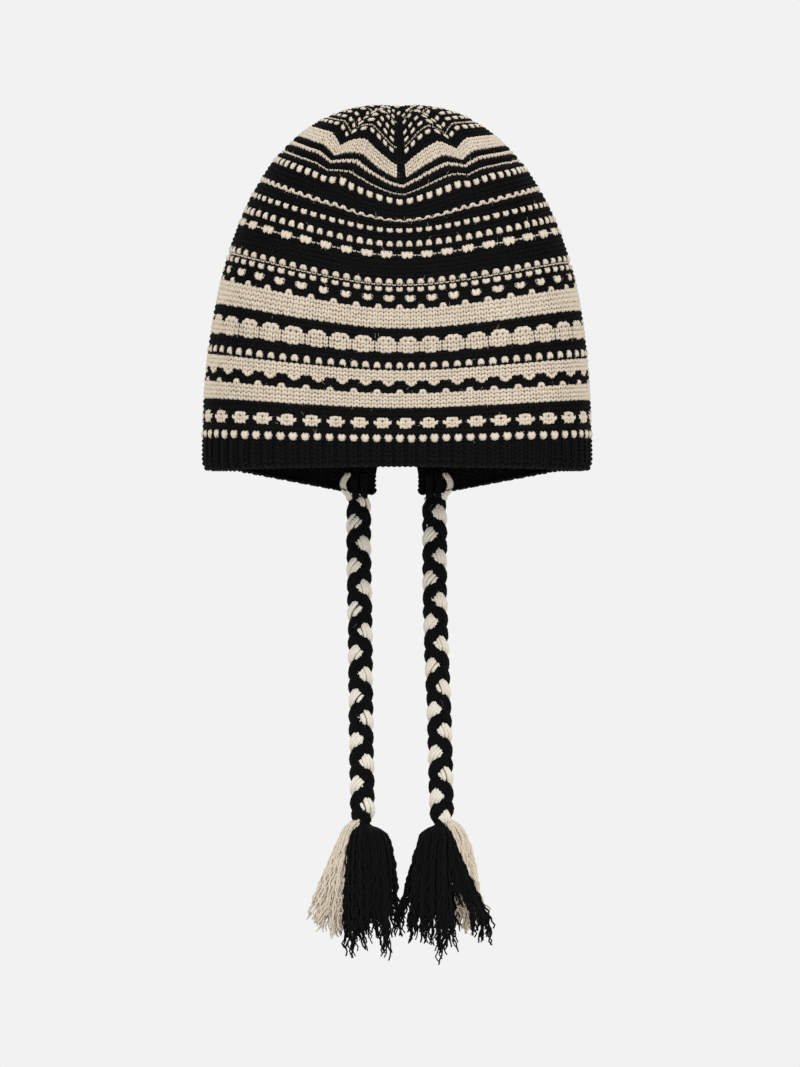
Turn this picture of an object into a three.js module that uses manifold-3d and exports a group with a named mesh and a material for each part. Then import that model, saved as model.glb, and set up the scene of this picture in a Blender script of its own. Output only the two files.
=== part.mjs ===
import * as THREE from 'three';
import { mergeVertices } from 'three/addons/utils/BufferGeometryUtils.js';
import Module from 'manifold-3d';

// Knit hat with two short back flaps, each with a braided tie that ends in a two-colour tassel.
// Millimetres, +Z up. The front faces -Y. The origin is the inside top of the crown, where a head meets it.

const wasm = await Module();
wasm.setup();

// Driving dimensions of the hat
const HALF_WIDTH = 92.5;
const HALF_DEPTH = 62;
const OUTSIDE_TOP = 4.6;
const RIM_LEVEL = -169;
const PROFILE_ROUNDNESS = 2.4;
const PLAN_ROUNDNESS = 2.4;
const CROWN_WALL = 4;
const BAND_WALL = 5;
const GAP = 0.3;

// The plain ribbed band round the rim
const BAND_TOP_FRONT = -156.6;
const BAND_TOP_SIDE_RISE = 2.4;
const RIB_COUNT = 80;
const RIB_RELIEF = 0.45;
const SIDE_STRETCH = 0.14;
const EDGE_ROUNDING = 1.4;
const EDGE_HEIGHT = 3;
const FRONT_EDGE_ARCH = 1.5;

// The two flaps at the back and the notch between them
const FLAP_DROP = 11;
const FLAP_CORNER_X = 19;
const FLAP_OUTER_X = 80;
const NOTCH_HALF_WIDTH = 10;
const NOTCH_TOP = -165.5;

// Darts that draw the crown in: azimuth from the front centre, depth of the groove, and how far it runs down
const DARTS = [
  { azimuth: 0, depth: 3.2, halfAngle: 7, reach: 34 },
  { azimuth: 25, depth: 1.8, halfAngle: 7, reach: 28 },
  { azimuth: 155, depth: 1.8, halfAngle: 7, reach: 28 },
  { azimuth: 180, depth: 3.2, halfAngle: 7, reach: 34 },
  { azimuth: 205, depth: 1.8, halfAngle: 7, reach: 28 },
  { azimuth: 335, depth: 1.8, halfAngle: 7, reach: 28 },
];
const DART_FULL_SHARE = 0.35;
const DART_MAX_SHARE = 0.5;
const TOP_DIMPLE = 0.6;
const DIMPLE_RADIUS = 16;

const CROWN_COLUMNS = 80;
const CROWN_RINGS = 20;

// Ties: a flat three-strand braid each, looped round the lower edge of its flap
const TIE_WIDTH = 11.6;
const TIE_THICKNESS = 8;
const TIE_SIDES = 10;
const TIE_STEPS = 14;
const LOOP_WIDTH = 10.5;
const LOOP_THICKNESS = 2.4;
const LOOP_LEG_HEIGHT = 10;
const LOOP_CLEARANCE = 0.6;
const LEFT_TIE_ROUTE = [
  [-18.3, 59.0, -183.2], [-18.4, 58.9, -193.4], [-18.4, 58.8, -203.7], [-18.3, 58.7, -214.0],
  [-18.1, 58.6, -224.2], [-17.9, 58.5, -234.5], [-17.7, 58.4, -244.7], [-17.6, 58.3, -255.0],
  [-17.5, 58.3, -265.2], [-17.4, 58.2, -275.5], [-17.3, 58.2, -285.7], [-17.2, 58.1, -296.0],
  [-17.0, 58.1, -306.2], [-16.8, 58.1, -316.5], [-16.6, 58.1, -326.7], [-16.5, 58.1, -337.0],
];
const RIGHT_TIE_ROUTE = [
  [17.9, 59.0, -183.2], [18.0, 58.9, -193.4], [18.1, 58.8, -203.7], [18.1, 58.7, -214.0],
  [18.1, 58.6, -224.2], [18.3, 58.5, -234.5], [18.6, 58.4, -244.7], [18.9, 58.3, -255.0],
  [19.3, 58.3, -265.2], [19.8, 58.2, -275.5], [20.2, 58.2, -285.7], [20.5, 58.1, -296.0],
  [20.8, 58.1, -306.2], [21.0, 58.1, -316.5], [21.2, 58.1, -326.7], [21.4, 58.1, -337.0],
];

// Tassels. Each lock hangs from its head at an angle round it, leans out and ends at its own length.
// Angles are for the left tie, where 180 is away from the notch and 270 is forward; the right is its mirror.
const HEAD_HEIGHT = 9;
const HEAD_SIDES = 10;
const HEAD_PROFILE = [
  { out: 0, down: 1 },
  { out: 0.9, down: 1 },
  { out: 1, down: 0.7 },
  { out: 0.85, down: 0.25 },
  { out: 0.5, down: 0 },
  { out: 0, down: 0 },
];
const LOCK_SIDES = 6;
const LOCK_STEPS = 4;
const COLOUR_GAP = 0.4;
const LOCK_START = 2;
const LOCK_FLARE = 0.9;
const LOCK_ROOT_SHARE = 0.6;
const LOCK_SWELL_SHARE = 0.5;
const LOCK_SWELL_END = 0.8;
const SPLIT_ANGLE = 307;
const BLACK_LOCKS = [
  { angle: 238, lean: 9.5, length: 62, radius: 4.2 },
  { angle: 268, lean: 9.0, length: 65, radius: 4.4 },
  { angle: 305, lean: 12.0, length: 60, radius: 4.2 },
  { angle: 345, lean: 13.5, length: 56, radius: 3.9 },
  { angle: 25, lean: 11.0, length: 55, radius: 3.8 },
  { angle: 330, lean: 5.0, length: 63, radius: 4.4 },
];
const CREAM_LOCKS = [
  { angle: 196, lean: 16.5, length: 49, radius: 3.9 },
  { angle: 177, lean: 20.0, length: 46, radius: 3.7 },
  { angle: 155, lean: 15.5, length: 50, radius: 3.8 },
  { angle: 180, lean: 11.0, length: 55, radius: 4.1 },
  { angle: 125, lean: 9.0, length: 53, radius: 3.8 },
];
const BLACK_HEAD = { shift: 2.6, radius: 5.0 };
const CREAM_HEAD = { shift: 3.4, radius: 3.8 };

// Materials
const blackWool = { color: 0x101012, roughness: 0.95, metalness: 0 };
const creamWool = { color: 0xd2c4ae, roughness: 0.95, metalness: 0 };
const patternWool = { color: 0x8a8172, roughness: 0.95, metalness: 0 };
const rad = THREE.MathUtils.degToRad;
const MERGE_DISTANCE = 1e-4;
const RIM_SAMPLES = 3600;

function signedPower(value, power) {
  return Math.sign(value) * Math.abs(value) ** power;
}

// A point of the hat's egg-like form, moved in by the inset. The height is above the rim level.
function shellPoint(azimuth, height, inset) {
  const fullHeight = OUTSIDE_TOP - RIM_LEVEL - inset;
  const t = Math.min(Math.max(height / fullHeight, 0), 1);
  const shrink = (1 - t ** PROFILE_ROUNDNESS) ** (1 / PROFILE_ROUNDNESS);
  const across = 2 / PLAN_ROUNDNESS;
  return new THREE.Vector3(
    (HALF_WIDTH - inset) * shrink * signedPower(Math.sin(azimuth), across),
    -(HALF_DEPTH - inset) * shrink * signedPower(Math.cos(azimuth), across),
    RIM_LEVEL + height,
  );
}

// How deep the darts draw the surface in at a point of the crown
function dartDepth(azimuth, height) {
  const down = OUTSIDE_TOP - RIM_LEVEL - height;
  let depth = 0;
  for (const dart of DARTS) {
    let turn = Math.abs(THREE.MathUtils.radToDeg(azimuth) - dart.azimuth) % 360;
    turn = Math.min(turn, 360 - turn);
    const across = Math.max(0, 1 - turn / dart.halfAngle);
    const along = 1 - THREE.MathUtils.smoothstep(down, DART_FULL_SHARE * dart.reach, dart.reach);
    depth = Math.max(depth, dart.depth * across * along);
  }
  return depth;
}

function crownPoint(azimuth, angle, inset) {
  const fullHeight = OUTSIDE_TOP - RIM_LEVEL - inset;
  const height = fullHeight * Math.sin(angle) ** (2 / PROFILE_ROUNDNESS);
  const point = shellPoint(azimuth, height, inset);
  const radius = Math.hypot(point.x, point.y);
  const depth = dartDepth(azimuth, height) * Math.min(1, radius / DIMPLE_RADIUS);
  const drawIn = Math.min(depth, DART_MAX_SHARE * radius) * Math.cos(angle);
  if (radius > 0) {
    point.x -= (point.x / radius) * drawIn;
    point.y -= (point.y / radius) * drawIn;
  }
  point.z -= depth * Math.sin(angle) + TOP_DIMPLE * Math.exp(-((radius / DIMPLE_RADIUS) ** 2));
  return point;
}

// A closed mesh from a list of points and triangles
function meshGeometry(points, triangles) {
  const geometry = new THREE.BufferGeometry();
  const positions = points.flatMap((p) => [p.x, p.y, p.z]);
  geometry.setAttribute('position', new THREE.Float32BufferAttribute(positions, 3));
  geometry.setIndex(triangles);
  return geometry;
}

// Joins two rings of equal count with quads split in two
function joinRings(triangles, first, second, count) {
  for (let i = 0; i < count; i += 1) {
    const next = (i + 1) % count;
    triangles.push(first + i, first + next, second + next);
    triangles.push(first + i, second + next, second + i);
  }
}

function bandTop(azimuth) {
  return BAND_TOP_FRONT + BAND_TOP_SIDE_RISE * Math.sin(azimuth) ** 2;
}

// The crown: an open cup with a wall of one thickness, drawn in along its darts
function crownGeometry() {
  const points = [];
  const triangles = [];
  const surfaces = [];
  for (const inset of [0, CROWN_WALL]) {
    const fullHeight = OUTSIDE_TOP - RIM_LEVEL - inset;
    const start = points.length;
    for (let ring = 0; ring < CROWN_RINGS; ring += 1) {
      for (let column = 0; column < CROWN_COLUMNS; column += 1) {
        const azimuth = (2 * Math.PI * column) / CROWN_COLUMNS;
        const foot = (bandTop(azimuth) + GAP - RIM_LEVEL) / fullHeight;
        const footAngle = Math.asin(foot ** (PROFILE_ROUNDNESS / 2));
        const angle = footAngle + (Math.PI / 2 - footAngle) * (ring / CROWN_RINGS);
        points.push(crownPoint(azimuth, angle, inset));
      }
    }
    points.push(crownPoint(0, Math.PI / 2, inset));
    surfaces.push({ start, apex: points.length - 1 });
  }
  const [outer, inner] = surfaces;
  const lastRing = (CROWN_RINGS - 1) * CROWN_COLUMNS;
  for (let ring = 0; ring + 1 < CROWN_RINGS; ring += 1) {
    const row = ring * CROWN_COLUMNS;
    joinRings(triangles, outer.start + row, outer.start + row + CROWN_COLUMNS, CROWN_COLUMNS);
    joinRings(triangles, inner.start + row + CROWN_COLUMNS, inner.start + row, CROWN_COLUMNS);
  }
  for (let column = 0; column < CROWN_COLUMNS; column += 1) {
    const next = (column + 1) % CROWN_COLUMNS;
    triangles.push(outer.start + lastRing + column, outer.start + lastRing + next, outer.apex);
    triangles.push(inner.start + lastRing + next, inner.start + lastRing + column, inner.apex);
  }
  joinRings(triangles, inner.start, outer.start, CROWN_COLUMNS);
  return meshGeometry(points, triangles);
}

// Azimuths of the columns of stitches, which are stretched wider towards the sides of the hat
function columnAzimuths(count) {
  const lengths = [0];
  let last = shellPoint(0, 0, 0);
  for (let i = 1; i <= RIM_SAMPLES; i += 1) {
    const point = shellPoint((2 * Math.PI * i) / RIM_SAMPLES, 0, 0);
    lengths.push(lengths[i - 1] + point.distanceTo(last));
    last = point;
  }
  const azimuths = [];
  let index = 0;
  for (let k = 0; k < count; k += 1) {
    const share = (k + 0.5) / count;
    const drawn = (SIDE_STRETCH / (4 * Math.PI)) * Math.sin(4 * Math.PI * share);
    const target = lengths[RIM_SAMPLES] * (share - drawn);
    while (lengths[index + 1] < target) index += 1;
    const part = (target - lengths[index]) / (lengths[index + 1] - lengths[index]);
    azimuths.push((2 * Math.PI * (index + part)) / RIM_SAMPLES);
  }
  return azimuths;
}

// Height of the rim's lower edge: nearly straight in front, two flaps and a notch at the back
function rimEdge(point) {
  const x = Math.abs(point.x);
  if (point.y < 0) return RIM_LEVEL + FRONT_EDGE_ARCH * Math.max(0, 1 - (x / HALF_WIDTH) ** 2);
  if (x < NOTCH_HALF_WIDTH) return NOTCH_TOP;
  const slope = (FLAP_OUTER_X - x) / (FLAP_OUTER_X - FLAP_CORNER_X);
  return RIM_LEVEL - FLAP_DROP * Math.min(Math.max(slope, 0), 1);
}

// The ribbed band: a ring with knit ribs inside and out and a rounded lower edge
function bandGeometry() {
  const columns = 2 * RIB_COUNT;
  const azimuths = columnAzimuths(columns);
  const ringTable = [
    { inset: 0, level: 'top', rise: 0 },
    { inset: 0, level: 'edge', rise: EDGE_HEIGHT },
    { inset: EDGE_ROUNDING, level: 'edge', rise: 0 },
    { inset: BAND_WALL - EDGE_ROUNDING, level: 'edge', rise: 0 },
    { inset: BAND_WALL, level: 'edge', rise: EDGE_HEIGHT },
    { inset: BAND_WALL, level: 'top', rise: 0 },
  ];
  const points = [];
  const triangles = [];
  for (const row of ringTable) {
    azimuths.forEach((azimuth, column) => {
      const relief = (column % 2 === 0 ? -1 : 1) * RIB_RELIEF;
      const side = row.inset < BAND_WALL / 2 ? 1 : -1;
      const edge = rimEdge(shellPoint(azimuth, 0, 0));
      const level = row.level === 'top' ? bandTop(azimuth) : edge + row.rise;
      const point = shellPoint(azimuth, level - RIM_LEVEL, row.inset + side * (relief + RIB_RELIEF));
      point.z = level;
      points.push(point);
    });
  }
  for (let ring = 0; ring < ringTable.length; ring += 1) {
    const next = (ring + 1) % ringTable.length;
    joinRings(triangles, next * columns, ring * columns, columns);
  }
  return meshGeometry(points, triangles);
}

function mesh(name, geometry, material) {
  const body = new THREE.Mesh(geometry, new THREE.MeshStandardMaterial(material));
  body.name = name;
  return body;
}

function routeCurve(route) {
  return new THREE.CatmullRomCurve3(route.map(([x, y, z]) => new THREE.Vector3(x, y, z)));
}

// A tie: an oval section swept along its route. The section's first axis follows the depth.
function tieGeometry(route) {
  const section = new THREE.Shape();
  for (let side = 0; side < TIE_SIDES; side += 1) {
    const angle = (2 * Math.PI * side) / TIE_SIDES;
    const x = (TIE_THICKNESS / 2) * Math.cos(angle);
    const y = (TIE_WIDTH / 2) * Math.sin(angle);
    if (side === 0) section.moveTo(x, y);
    else section.lineTo(x, y);
  }
  return new THREE.ExtrudeGeometry(section, { steps: TIE_STEPS, extrudePath: routeCurve(route) });
}

// The strands of a tie where they go round the flap's lower edge: a U seen from the side
function loopGeometry(centreX) {
  const turn = Math.PI - Math.asin((Math.abs(centreX) / HALF_WIDTH) ** (PLAN_ROUNDNESS / 2));
  const outerWall = shellPoint(turn, 0, 0).y + LOOP_CLEARANCE;
  const innerWall = shellPoint(turn, 0, 0).y - BAND_WALL - LOOP_CLEARANCE;
  const foot = RIM_LEVEL - FLAP_DROP - GAP;
  const head = foot + LOOP_LEG_HEIGHT;
  const bottom = foot - LOOP_THICKNESS;
  const front = innerWall - LOOP_THICKNESS;
  const back = outerWall + LOOP_THICKNESS;
  const shape = new THREE.Shape();
  shape.moveTo(front, head);
  shape.lineTo(front, foot);
  shape.quadraticCurveTo(front, bottom, innerWall, bottom);
  shape.lineTo(outerWall, bottom);
  shape.quadraticCurveTo(back, bottom, back, foot);
  shape.lineTo(back, head);
  shape.lineTo(outerWall, head);
  shape.lineTo(outerWall, foot);
  shape.lineTo(innerWall, foot);
  shape.lineTo(innerWall, head);
  shape.closePath();
  const options = { depth: LOOP_WIDTH, bevelEnabled: false, curveSegments: 3 };
  const geometry = new THREE.ExtrudeGeometry(shape, options);
  const alongY = new THREE.Vector3(0, 1, 0);
  const alongZ = new THREE.Vector3(0, 0, 1);
  const alongX = new THREE.Vector3(1, 0, 0);
  geometry.applyMatrix4(new THREE.Matrix4().makeBasis(alongY, alongZ, alongX));
  geometry.translate(centreX - LOOP_WIDTH / 2, 0, 0);
  return geometry;
}

function toManifold(geometry) {
  const bare = geometry.clone();
  bare.deleteAttribute('normal');
  bare.deleteAttribute('uv');
  const merged = mergeVertices(bare, MERGE_DISTANCE);
  return new wasm.Manifold(new wasm.Mesh({
    numProp: 3,
    vertProperties: new Float32Array(merged.attributes.position.array),
    triVerts: new Uint32Array(merged.index.array),
  }));
}

function fromManifold(solid) {
  const data = solid.getMesh();
  const geometry = new THREE.BufferGeometry();
  geometry.setAttribute('position', new THREE.BufferAttribute(new Float32Array(data.vertProperties), 3));
  geometry.setIndex(Array.from(data.triVerts));
  return geometry;
}

// A lock of yarn: a six-sided body that leans out, swells and comes to a blunt end
function lockGeometry(lock, spread) {
  const points = [];
  const triangles = [];
  const angle = rad(lock.angle);
  for (let step = 0; step <= LOCK_STEPS; step += 1) {
    const t = step / LOCK_STEPS;
    const out = spread * lock.lean * Math.sin((t * Math.PI) / 2) ** LOCK_FLARE;
    const swell = LOCK_SWELL_SHARE * Math.sin(Math.PI * t * LOCK_SWELL_END);
    const radius = lock.radius * (LOCK_ROOT_SHARE + swell);
    for (let side = 0; side < LOCK_SIDES; side += 1) {
      const turn = (2 * Math.PI * side) / LOCK_SIDES + angle;
      points.push(new THREE.Vector3(
        out * Math.cos(angle) + radius * Math.cos(turn),
        out * Math.sin(angle) + radius * Math.sin(turn),
        -LOCK_START - t * (lock.length - LOCK_START),
      ));
    }
  }
  for (let step = 0; step < LOCK_STEPS; step += 1) {
    joinRings(triangles, (step + 1) * LOCK_SIDES, step * LOCK_SIDES, LOCK_SIDES);
  }
  const last = LOCK_STEPS * LOCK_SIDES;
  for (let side = 1; side + 1 < LOCK_SIDES; side += 1) {
    triangles.push(0, side, side + 1);
    triangles.push(last, last + side + 1, last + side);
  }
  return meshGeometry(points, triangles);
}

// The head that the locks hang from: a small dome turned about its axis
function headGeometry(radius) {
  const profile = HEAD_PROFILE.map(({ out, down }) => (
    new THREE.Vector2(out * radius, -GAP - down * (HEAD_HEIGHT - GAP))
  ));
  const geometry = new THREE.LatheGeometry(profile, HEAD_SIDES);
  geometry.rotateX(Math.PI / 2);
  return geometry;
}

// One colour of a tassel: its locks joined to its head and cut back to its own side of the split
function tasselSolid(locks, head, spread, towards) {
  const normal = [towards * Math.cos(rad(SPLIT_ANGLE)), towards * Math.sin(rad(SPLIT_ANGLE)), 0];
  const shift = [normal[0] * head.shift, normal[1] * head.shift, 0];
  let solid = toManifold(headGeometry(head.radius)).translate(shift);
  for (const lock of locks) {
    solid = solid.add(toManifold(lockGeometry(lock, spread)));
  }
  solid = solid.trimByPlane(normal, COLOUR_GAP / 2);
  return solid.decompose().reduce((best, piece) => (piece.volume() > best.volume() ? piece : best));
}

function tasselGeometry(locks, head, tie, towards) {
  const hung = tasselSolid(locks, head, tie.spread, towards);
  const turned = tie.mirror ? hung.mirror([1, 0, 0]) : hung;
  return fromManifold(turned.translate(tie.route[tie.route.length - 1]));
}

const hat = new THREE.Group();
hat.add(mesh('crown', crownGeometry(), patternWool));
hat.add(mesh('ribbed_band', bandGeometry(), blackWool));

const ties = [
  { side: 'left', mirror: false, spread: 1, route: LEFT_TIE_ROUTE },
  { side: 'right', mirror: true, spread: 1.1, route: RIGHT_TIE_ROUTE },
];
for (const tie of ties) {
  hat.add(mesh(`tie_loop_${tie.side}`, loopGeometry(tie.route[0][0]), blackWool));
  hat.add(mesh(`tie_${tie.side}`, tieGeometry(tie.route), blackWool));
  hat.add(mesh(`tassel_black_${tie.side}`, tasselGeometry(BLACK_LOCKS, BLACK_HEAD, tie, 1), blackWool));
  hat.add(mesh(`tassel_cream_${tie.side}`, tasselGeometry(CREAM_LOCKS, CREAM_HEAD, tie, -1), creamWool));
}

export default hat;
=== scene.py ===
import math

import bpy
import numpy as np
from bpy.props import FloatProperty, FloatVectorProperty, IntProperty, PointerProperty
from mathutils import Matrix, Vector


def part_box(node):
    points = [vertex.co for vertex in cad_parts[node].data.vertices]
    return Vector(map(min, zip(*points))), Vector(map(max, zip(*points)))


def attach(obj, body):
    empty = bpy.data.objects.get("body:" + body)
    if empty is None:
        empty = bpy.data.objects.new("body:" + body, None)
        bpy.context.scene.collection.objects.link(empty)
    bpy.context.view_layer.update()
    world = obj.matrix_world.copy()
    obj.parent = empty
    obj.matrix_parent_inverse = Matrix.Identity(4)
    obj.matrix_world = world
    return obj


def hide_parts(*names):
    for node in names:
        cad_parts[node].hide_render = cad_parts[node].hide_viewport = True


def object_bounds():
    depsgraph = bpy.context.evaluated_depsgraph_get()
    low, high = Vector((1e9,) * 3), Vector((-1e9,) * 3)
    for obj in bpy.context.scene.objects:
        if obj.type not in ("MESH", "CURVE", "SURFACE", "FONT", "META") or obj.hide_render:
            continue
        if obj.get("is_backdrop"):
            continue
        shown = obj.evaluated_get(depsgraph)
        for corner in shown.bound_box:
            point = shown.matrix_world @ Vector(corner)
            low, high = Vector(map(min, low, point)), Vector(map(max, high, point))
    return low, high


bl_info = {
    "name": "Knit Beanie",
    "version": (1, 0, 0),
    "blender": (4, 5, 0),
    "location": "3D View > Sidebar > Beanie",
    "description": "A two-colour knit beanie with braided ties, made stitch by stitch",
    "category": "Add Mesh",
}

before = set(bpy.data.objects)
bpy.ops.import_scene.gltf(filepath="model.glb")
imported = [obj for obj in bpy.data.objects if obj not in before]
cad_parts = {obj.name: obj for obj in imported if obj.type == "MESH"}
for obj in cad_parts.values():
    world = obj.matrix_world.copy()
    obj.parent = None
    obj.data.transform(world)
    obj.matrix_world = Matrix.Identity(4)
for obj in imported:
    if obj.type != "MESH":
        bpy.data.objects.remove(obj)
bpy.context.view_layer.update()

# Lengths below are in millimetres, and become metres where a mesh is made
MM = 0.001
BODY = "root"
SEED = 11

# Form of the hat, as the solids have it
HALF_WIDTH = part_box("ribbed_band")[1][0] / MM
HALF_DEPTH = 62.0
OUTSIDE_TOP = 4.6
RIM_LEVEL = -169.0
PROFILE_ROUNDNESS = 2.4
PLAN_ROUNDNESS = 2.4
SIDE_STRETCH = 0.14
CROWN_WALL = 4.0
BAND_WALL = 5.0
BAND_TOP_FRONT = -156.6
BAND_TOP_SIDE_RISE = 2.4
BAND_EDGE_CURL = 1.8
BAND_CURL_HEIGHT = 4.5
RIB_RELIEF = 0.9
FRONT_EDGE_ARCH = 1.5
FLAP_DROP = 11.0
FLAP_CORNER_X = 19.0
FLAP_OUTER_X = 80.0
NOTCH_HALF_WIDTH = 10.0
NOTCH_TOP = -165.5

# The knit: stitches round the rim, rows up to the top, and where the gores between darts begin
WALES = 160
ROWS = 95
GORES = [0, 16, 64, 80, 96, 144, 160]
FIRST_DECREASE = 48
LEAST_PITCH = 2.35
SMILE_SOFTNESS = 0.15

# Rows against their depth below the top, at the middle of the front and at the sides
ROW_LEVELS = np.array([
    # row, front drop, side drop
    (0, 160.9, 158.5),
    (8, 144.9, 140.0),
    (18, 126.9, 119.3),
    (33, 97.8, 84.8),
    (40, 83.8, 69.2),
    (45, 73.2, 58.5),
    (48, 65.8, 50.2),
    (54, 52.9, 37.0),
    (58, 43.0, 29.4),
    (60, 37.2, 25.2),
    (64, 26.4, 17.3),
    (68, 18.6, 12.4),
])

# The pattern sits a little higher on the left, a lean that grows from the rim and fades to the top
PATTERN_LEAN = 2.3
LEAN_GROWS = 40
LEAN_FADES = 30

# How many rows the knit is drawn down at the front and back darts and at the other four
ROW_DIPS = np.array([
    # row, middle dart, other darts
    (48, 0.0, 0.0),
    (51, 0.3, 0.0),
    (54, 1.5, 0.1),
    (58, 2.3, 0.4),
    (60, 2.7, 0.7),
    (62, 3.4, 1.0),
    (64, 3.9, 1.3),
    (68, 5.6, 2.3),
    (77, 6.6, 2.6),
    (87, 4.6, 2.0),
    (95, 0.0, 0.0),
])

# How wide the middle dip is on each side, in degrees, and how sharply it falls to the seam
MIDDLE_DIP_FORM = np.array([
    # row, left span, left sharpness, right span, right sharpness
    (57, 22.0, 1.1, 24.0, 1.1),
    (64, 14.5, 1.1, 22.0, 2.0),
    (95, 14.5, 1.5, 16.0, 1.8),
])
OTHER_DIP_SPAN = 12.0
OTHER_DIP_SHARPNESS = 1.5

# The seams where the dark yarn gathers, in millimetres, stitch widths and degrees
SEAM_FIRST_ROW = 64
SEAM_OFFSET = 2.0
SEAM_HALF_WIDTH = 0.5
SEAM_TURN = 60.0

# Grooves along the darts, which fade out towards the foot of their reach
DART_AZIMUTHS = [1.0, 28.0, 152.0, 181.0, 208.0, 332.0]
MIDDLE_DARTS = (1.0, 181.0)
MIDDLE_DART_DEPTH = 4.4
OTHER_DART_DEPTH = 1.9
DART_HALF_WIDTH = 3.6
DART_REACH = 34.0
DART_FADE_START = 0.35
TOP_DIMPLE = 0.6
DIMPLE_RADIUS = 16.0

# Gentle unevenness of the crown, which fades towards the middle of the top and towards the rim
UNEVEN_WAVES = [
    # height, waves round the hat, shift, turns with the profile angle
    (0.35, 3, 1.3, 4),
    (0.25, 7, 0.0, -5),
]
UNEVEN_RADIUS = 40.0
UNEVEN_ANGLE = 0.3

# Chart of the pattern, rim to top, repeated every four stitches
# c cream, s small cream, w cream at a scallop's side, r the same at its foot, m scallop's top,
# o bead, p bead beside the rib, u point upward, q tall point upward, n small point upward,
# v point downward, a tall point downward, d wide blob, e blob, z small raised cream,
# y low cream, g thin sunken cream, f faint cream, x oval's end, b oval's foot, t oval's top, k black,
# h and i cream on the right leg only, j and l on the left leg only: low and high
CHART = """
    kkkk pkpk kkkk
    iblk xcxk htjk kkkk kkkk
    cccc cccc cccc cccc nkkk kkkk kial
    cccc cccc cccc
    kkkk qkqk kkkk kkkk
    rccr wccw wccw hmmj
    kkkk kkkk
    cscs cccc cccc cccc cccc nkkk kkkk
    kkdk kkkk vkvk gggg ukuk
    kkkk kkkk kkkk kkkk kkkk
    feef kkkk ukuk kkkk kkkk vkvk kkkk kkkk zyzy
    kkkk kkkk kkkk kkkk okok
    kkkk gggg kkkk ssss kkkk
    cccc cccc cccc cccc
    kkkk kkkk kkkk okok kkkk gggg kkkk okok
    kkkk kkkk okok kkkk kkkk kkkk okok kkkk gggg
    kkkk okok kkkk kkkk okok kkkk kkkk kkkk okok kkkk
""".split()

# How each kind of stitch is drawn: material of each leg, share of the width and height, lift in
# millimetres, thickness of a leg, shift in rows, and -1 where it stands on its open end
STITCH_LOOKS = {
    "c": (1, 1, 1.04, 1.08, 0.12, 1.12, 0.0, 1),
    "s": (1, 1, 0.90, 0.90, 0.05, 1.08, 0.0, 1),
    "w": (1, 1, 0.80, 1.04, 0.06, 1.15, 0.0, 1),
    "r": (1, 1, 0.78, 0.70, 0.02, 1.15, 0.22, 1),
    "m": (1, 1, 1.00, 1.12, 0.16, 1.35, 0.0, -1),
    "o": (1, 1, 0.84, 1.24, 0.45, 2.05, 0.0, 1),
    "p": (1, 1, 0.80, 1.52, 0.45, 2.15, -0.6, 1),
    "u": (1, 1, 0.90, 1.10, 0.40, 1.62, -0.2, -1),
    "q": (1, 1, 0.84, 1.42, 0.40, 1.58, -0.5, -1),
    "n": (1, 1, 1.08, 1.08, 0.18, 1.28, -0.2, -1),
    "v": (1, 1, 1.00, 1.04, 0.40, 1.66, -0.1, 1),
    "a": (1, 1, 1.10, 1.30, 0.14, 1.25, -0.16, 1),
    "e": (1, 1, 0.86, 1.30, 0.35, 1.80, -0.3, 1),
    "d": (1, 1, 1.42, 1.50, 0.40, 1.45, -0.3, 1),
    "z": (1, 1, 1.12, 0.92, 0.20, 1.20, 0.3, -1),
    "y": (1, 1, 1.00, 0.52, -0.05, 1.00, 0.0, 1),
    "g": (1, 1, 0.80, 0.36, -0.26, 1.00, 0.0, 1),
    "f": (1, 1, 0.70, 0.34, -0.38, 1.00, -0.3, 1),
    "x": (1, 1, 0.90, 1.16, 0.14, 1.90, 0.0, 1),
    "b": (1, 1, 1.10, 0.80, 0.12, 1.25, 0.18, 1),
    "t": (1, 1, 1.10, 0.80, 0.12, 1.25, -0.18, -1),
    "h": (0, 1, 1.04, 0.94, 0.10, 1.30, -0.3, 1),
    "j": (1, 0, 1.04, 0.94, 0.10, 1.30, -0.3, 1),
    "i": (0, 1, 1.04, 0.94, 0.10, 1.30, 0.3, 1),
    "l": (1, 0, 1.04, 0.94, 0.10, 1.30, 0.3, 1),
    "k": (0, 0, 1.00, 1.02, 0.00, 1.00, 0.0, 1),
}
TRIMMED = list("cs")
DARK_NEIGHBOUR_TRIM = 0.11
STITCH_INSET = 1.35
GROUND_INSET = 1.50

# How much stitches stray across and along in millimetres and rows, and vary in form and tone
STRAY_ACROSS = 0.06
STRAY_ALONG = 0.03
HEIGHT_SPREAD = 0.04
PROUD_SPREAD = 0.07
THICKNESS_SPREAD = 0.06
LEG_TONE_SPREAD = 0.05

# A stitch's directions are measured half its width to each side, as an angle at this radius
NUDGE_RADIUS = 90.0

# One leg of a stitch, in shares of its width and height: it starts at the foot beside the middle, splays
# outward as it rises, arches out of the ground and tapers at both tips. The strips map its sides.
LEG_STEPS = np.array([0.0, 0.2, 0.5, 0.8, 1.0])
LEG_FOOT = 0.10
LEG_SPLAY = 0.29
LEG_BELOW = 0.70
LEG_LENGTH = 1.36
LEG_BURIED = 0.25
LEG_ARCH = 0.55
LEG_TIP = 0.10
LEG_FULLNESS = 0.6
LEG_MAP_STRIPS = [(0.0, 0.40), (0.42, 0.84), (0.86, 1.0)]

# The pieces of the crown by their rows
CROWN_PIECES = {"knit_rows_lower": (0, 24), "knit_rows_middle": (24, 48), "knit_rows_top": (48, ROWS)}

# The crown's ground: height of the purl bumps inside, how many rows short of the middle it closes, and
# where its outside, its closing points and its foot lie in the map
PURL_RELIEF = 0.28
GROUND_HOLE = 0.25
HALF_MAP = 0.48
LID_MAP = 0.495
FOOT_MAP = 0.985

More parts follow.
